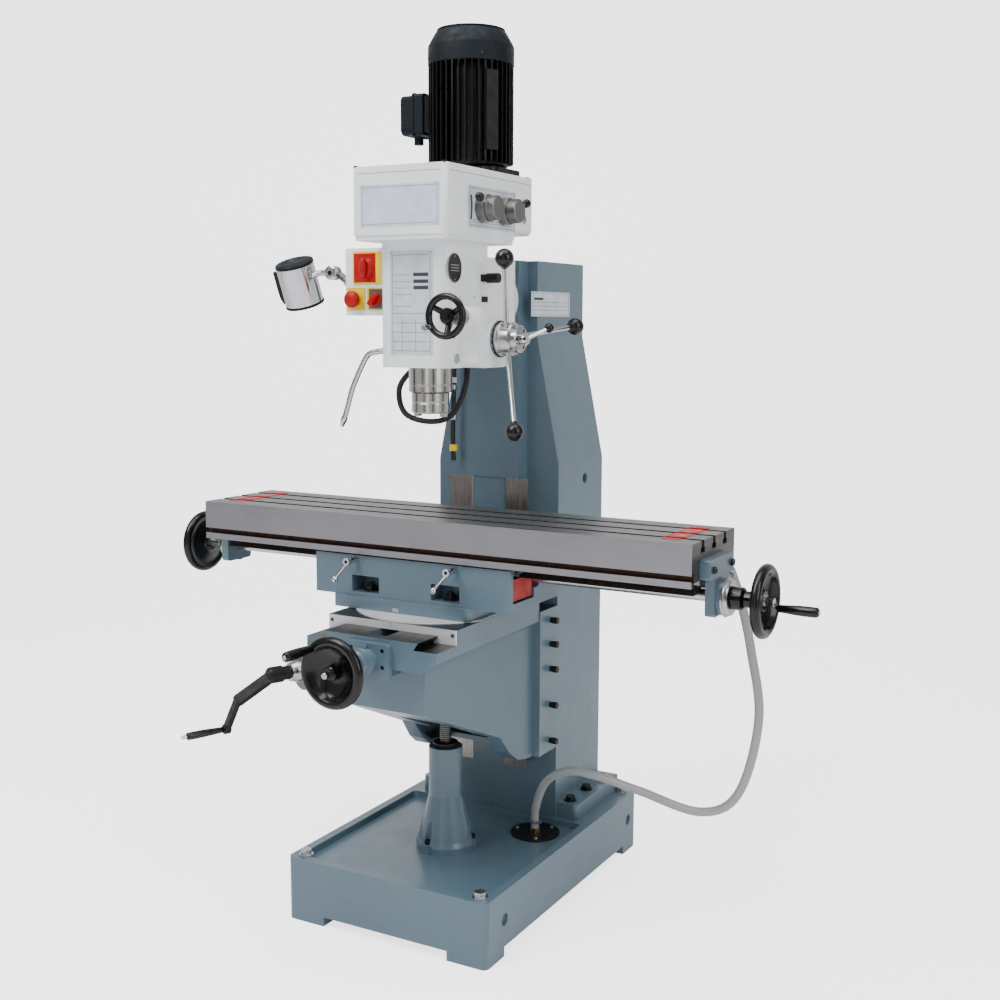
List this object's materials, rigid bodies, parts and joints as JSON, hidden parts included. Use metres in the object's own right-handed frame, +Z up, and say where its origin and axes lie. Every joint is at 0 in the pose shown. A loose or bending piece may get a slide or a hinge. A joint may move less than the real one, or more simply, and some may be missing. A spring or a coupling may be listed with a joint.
{
  "type": "vertical knee milling machine",
  "caption": "Floor-standing vertical knee mill: column, knee, cross slide, swivelling T-slot table and tilting geared head with quill, motor, lamp and coolant line.",
  "frame": {"origin": "centre of the base footprint on the floor", "axes": "+X along the table to the operator's right, +Y from the operator to the column, +Z up"},
  "size_m": [1.668, 1.0803, 2.037],
  "materials": {
    "machine_paint": "satin enamel over cast iron",
    "head_paint": "satin off-white enamel",
    "ground_steel": "ground and brushed",
    "polished_steel": "polished",
    "cast_table": "ground cast iron",
    "black_oxide": "black oxide",
    "black_plastic": "gloss phenolic",
    "motor_paint": "gloss black enamel",
    "red_plastic": "gloss",
    "plate": "printed satin plate",
    "bronze": "machined bronze",
    "clear_hose": "braided clear hose",
    "black_rubber": "matte"
  },
  "bodies": {
    "frame": {"base_casting": "machine_paint", "column_casting": "machine_paint", "column_plate": "plate", "base_fasteners": "black_oxide", "strainer_cover": "black_oxide", "drain_hose": "clear_hose", "supply_hose": "black_rubber", "screw_pedestal": "machine_paint", "elevating_nut": "black_oxide"},
    "knee": {"knee_casting": "machine_paint", "knee_gib": "black_oxide", "cross_screw_bracket": "machine_paint", "crank_bearing": "ground_steel"},
    "crank": {"crank_shaft": "ground_steel", "crank_arm": "black_oxide"},
    "crank_grip": {"crank_grip": "black_plastic"},
    "elevating_screw": {"elevating_screw": "ground_steel"},
    "cross_slide": {"cross_slide": "cast_table", "cross_nut": "bronze"},
    "cross_screw": {"cross_screw": "ground_steel", "cross_handwheel": "black_plastic"},
    "cross_grip": {"cross_grip": "black_plastic"},
    "saddle": {"swivel_saddle": "machine_paint", "swivel_bolts": "black_oxide", "table_nut": "red_plastic"},
    "lock_left": {"table_lock_left": "polished_steel"},
    "lock_right": {"table_lock_right": "polished_steel"},
    "table": {"table_top": "cast_table", "slot_plugs": "red_plastic", "left_bracket": "machine_paint", "right_bracket": "machine_paint"},
    "table_screw": {"table_screw": "ground_steel", "left_handwheel": "black_plastic", "right_handwheel": "black_plastic"},
    "left_grip": {"left_grip": "black_plastic"},
    "right_grip": {"right_grip": "black_plastic"},
    "head": {"head_casting": "head_paint", "gearbox_casting": "head_paint", "motor_housing": "motor_paint", "fan_cover": "motor_paint", "terminal_box": "motor_paint", "head_plates": "plate", "switch_box": "head_paint"},
    "rotor": {"motor_rotor": "ground_steel"},
    "layshaft": {"layshaft": "ground_steel"},
    "drive_sleeve": {"drive_sleeve": "ground_steel"},
    "quill": {"quill": "ground_steel"},
    "spindle": {"spindle": "ground_steel"},
    "feed": {"feed_hub": "ground_steel", "feed_spokes": "polished_steel"},
    "clutch": {"clutch_lever": "polished_steel"},
    "micro_feed": {"micro_feed_wheel": "black_plastic"},
    "speed_front": {"speed_lever_front": "ground_steel"},
    "speed_rear": {"speed_lever_rear": "ground_steel"},
    "power_knob": {"power_knob": "red_plastic"},
    "stop_button": {"stop_button": "red_plastic"},
    "direction_knob": {"direction_knob": "red_plastic"},
    "nozzle": {"coolant_nozzle": "polished_steel"},
    "lamp_arm": {"lamp_arm": "black_oxide"},
    "lamp_head": {"lamp_head": "polished_steel"}
  },
  "joints": [
    {"name": "crank_turn", "type": "hinge", "parent": "knee", "child": "crank", "pos_m": [0, -0.132, 0.625], "axis": [0.4067, 0.9135, 0], "range_deg": [-23775, 11535]},
    {"name": "knee_slide", "type": "slide", "parent": "frame", "child": "knee", "axis": [0, 0, 1], "range_m": [-0.165, 0.08]},
    {"name": "elevating_screw_turn", "type": "hinge", "parent": "knee", "child": "elevating_screw", "pos_m": [0, -0.132, 0.4], "axis": [0, 0, 1], "range_deg": [-11895, 5775]},
    {"name": "crank_grip_spin", "type": "hinge", "parent": "crank", "child": "crank_grip", "pos_m": [-0.29955, -0.63024, 0.50202], "axis": [0.4067, 0.9135, 0], "continuous": true},
    {"name": "cross_screw_turn", "type": "hinge", "parent": "knee", "child": "cross_screw", "pos_m": [0, -0.5, 0.662], "axis": [0, 1, 0], "range_deg": [-12975, 1455]},
    {"name": "cross_slide", "type": "slide", "parent": "knee", "child": "cross_slide", "axis": [0, 1, 0], "range_m": [-0.18, 0.02]},
    {"name": "cross_grip_spin", "type": "hinge", "parent": "cross_screw", "child": "cross_grip", "pos_m": [-0.04501, -0.6, 0.71027], "axis": [0, 1, 0], "continuous": true},
    {"name": "table_swivel", "type": "hinge", "parent": "cross_slide", "child": "saddle", "pos_m": [0, -0.168, 0.727], "axis": [0, 0, 1], "range_deg": [-30, 30]},
    {"name": "table_slide", "type": "slide", "parent": "saddle", "child": "table", "axis": [1, 0, 0], "range_m": [-0.345, 0.255], "deforming": ["drain_hose"]},
    {"name": "table_screw_turn", "type": "hinge", "parent": "table", "child": "table_screw", "pos_m": [0, -0.168, 0.82], "axis": [1, 0, 0], "range_deg": [-24855, 18375]},
    {"name": "left_grip_spin", "type": "hinge", "parent": "table_screw", "child": "left_grip", "pos_m": [-0.751, -0.116, 0.78], "axis": [1, 0, 0], "continuous": true},
    {"name": "right_grip_spin", "type": "hinge", "parent": "table_screw", "child": "right_grip", "pos_m": [0.833, -0.108, 0.795], "axis": [1, 0, 0], "continuous": true},
    {"name": "left_table_lock", "type": "hinge", "parent": "saddle", "child": "lock_left", "pos_m": [-0.142, -0.3, 0.841], "axis": [0, 1, 0], "range_deg": [0, 55]},
    {"name": "right_table_lock", "type": "hinge", "parent": "saddle", "child": "lock_right", "pos_m": [0.121, -0.3, 0.841], "axis": [0, 1, 0], "range_deg": [0, 55]},
    {"name": "head_tilt", "type": "hinge", "parent": "frame", "child": "head", "pos_m": [0, 0.066, 1.43], "axis": [0, -1, 0], "range_deg": [-45, 45]},
    {"name": "quill_feed", "type": "hinge", "parent": "head", "child": "feed", "pos_m": [0.17, -0.135, 1.34], "axis": [-1, 0, 0], "range_deg": [-381.9, 0]},
    {"name": "quill_slide", "type": "slide", "parent": "head", "child": "quill", "axis": [0, 0, 1], "range_m": [-0.1202, 0.0002]},
    {"name": "spindle_spin", "type": "hinge", "parent": "quill", "child": "spindle", "pos_m": [0, -0.193, 1.3], "axis": [0, 0, 1], "continuous": true},
    {"name": "sleeve_spin", "type": "hinge", "parent": "head", "child": "drive_sleeve", "pos_m": [0, -0.193, 1.58], "axis": [0, 0, 1], "continuous": true},
    {"name": "layshaft_spin", "type": "hinge", "parent": "head", "child": "layshaft", "pos_m": [0.00947, -0.1035, 1.63], "axis": [0, 0, 1], "continuous": true},
    {"name": "rotor_spin", "type": "hinge", "parent": "head", "child": "rotor", "pos_m": [0, -0.014, 1.8], "axis": [0, 0, 1], "continuous": true},
    {"name": "clutch_turn", "type": "hinge", "parent": "feed", "child": "clutch", "pos_m": [0.205, -0.135, 1.34], "axis": [1, 0, 0], "range_deg": [0, 40]},
    {"name": "micro_feed_turn", "type": "hinge", "parent": "head", "child": "micro_feed", "pos_m": [0.112, -0.3, 1.389], "axis": [0, 1, 0], "continuous": true},
    {"name": "front_speed_select", "type": "hinge", "parent": "head", "child": "speed_front", "pos_m": [0.14, -0.175, 1.622], "axis": [1, 0, 0], "range_deg": [-30, 30]},
    {"name": "rear_speed_select", "type": "hinge", "parent": "head", "child": "speed_rear", "pos_m": [0.14, -0.079, 1.622], "axis": [1, 0, 0], "range_deg": [-30, 30]},
    {"name": "power_switch", "type": "hinge", "parent": "head", "child": "power_knob", "pos_m": [-0.146, -0.24, 1.497], "axis": [0, 1, 0], "range_deg": [0, 90]},
    {"name": "stop_press", "type": "slide", "parent": "head", "child": "stop_button", "axis": [0, 1, 0], "range_m": [0, 0.005], "stiffness_N_per_m": 200},
    {"name": "direction_select", "type": "hinge", "parent": "head", "child": "direction_knob", "pos_m": [-0.12, -0.24, 1.427], "axis": [0, 1, 0], "range_deg": [-45, 45]},
    {"name": "nozzle_swing", "type": "hinge", "parent": "head", "child": "nozzle", "pos_m": [-0.095, -0.225, 1.312], "axis": [1, 0, 0], "range_deg": [-40, 40]},
    {"name": "lamp_arm_turn", "type": "hinge", "parent": "head", "child": "lamp_arm", "pos_m": [-0.21, -0.205, 1.47], "axis": [1, 0, 0], "range_deg": [-60, 60]},
    {"name": "lamp_tilt", "type": "hinge", "parent": "lamp_arm", "child": "lamp_head", "pos_m": [-0.257, -0.205, 1.488], "axis": [0, 1, 0], "range_deg": [-35, 25]}
  ],
  "couplings": [
    {"joint": "crank_turn", "follows": "knee_slide", "rad_per_m": 2513.3},
    {"joint": "elevating_screw_turn", "follows": "knee_slide", "rad_per_m": 1256.6},
    {"joint": "cross_screw_turn", "follows": "cross_slide", "rad_per_m": 1256.6},
    {"joint": "table_screw_turn", "follows": "table_slide", "rad_per_m": 1256.6},
    {"joint": "quill_slide", "follows": "quill_feed", "m_per_rad": 0.018},
    {"joint": "sleeve_spin", "follows": "spindle_spin", "ratio": 1},
    {"joint": "layshaft_spin", "follows": "spindle_spin", "ratio": -1.88},
    {"joint": "rotor_spin", "follows": "spindle_spin", "ratio": 4.888}
  ]
}
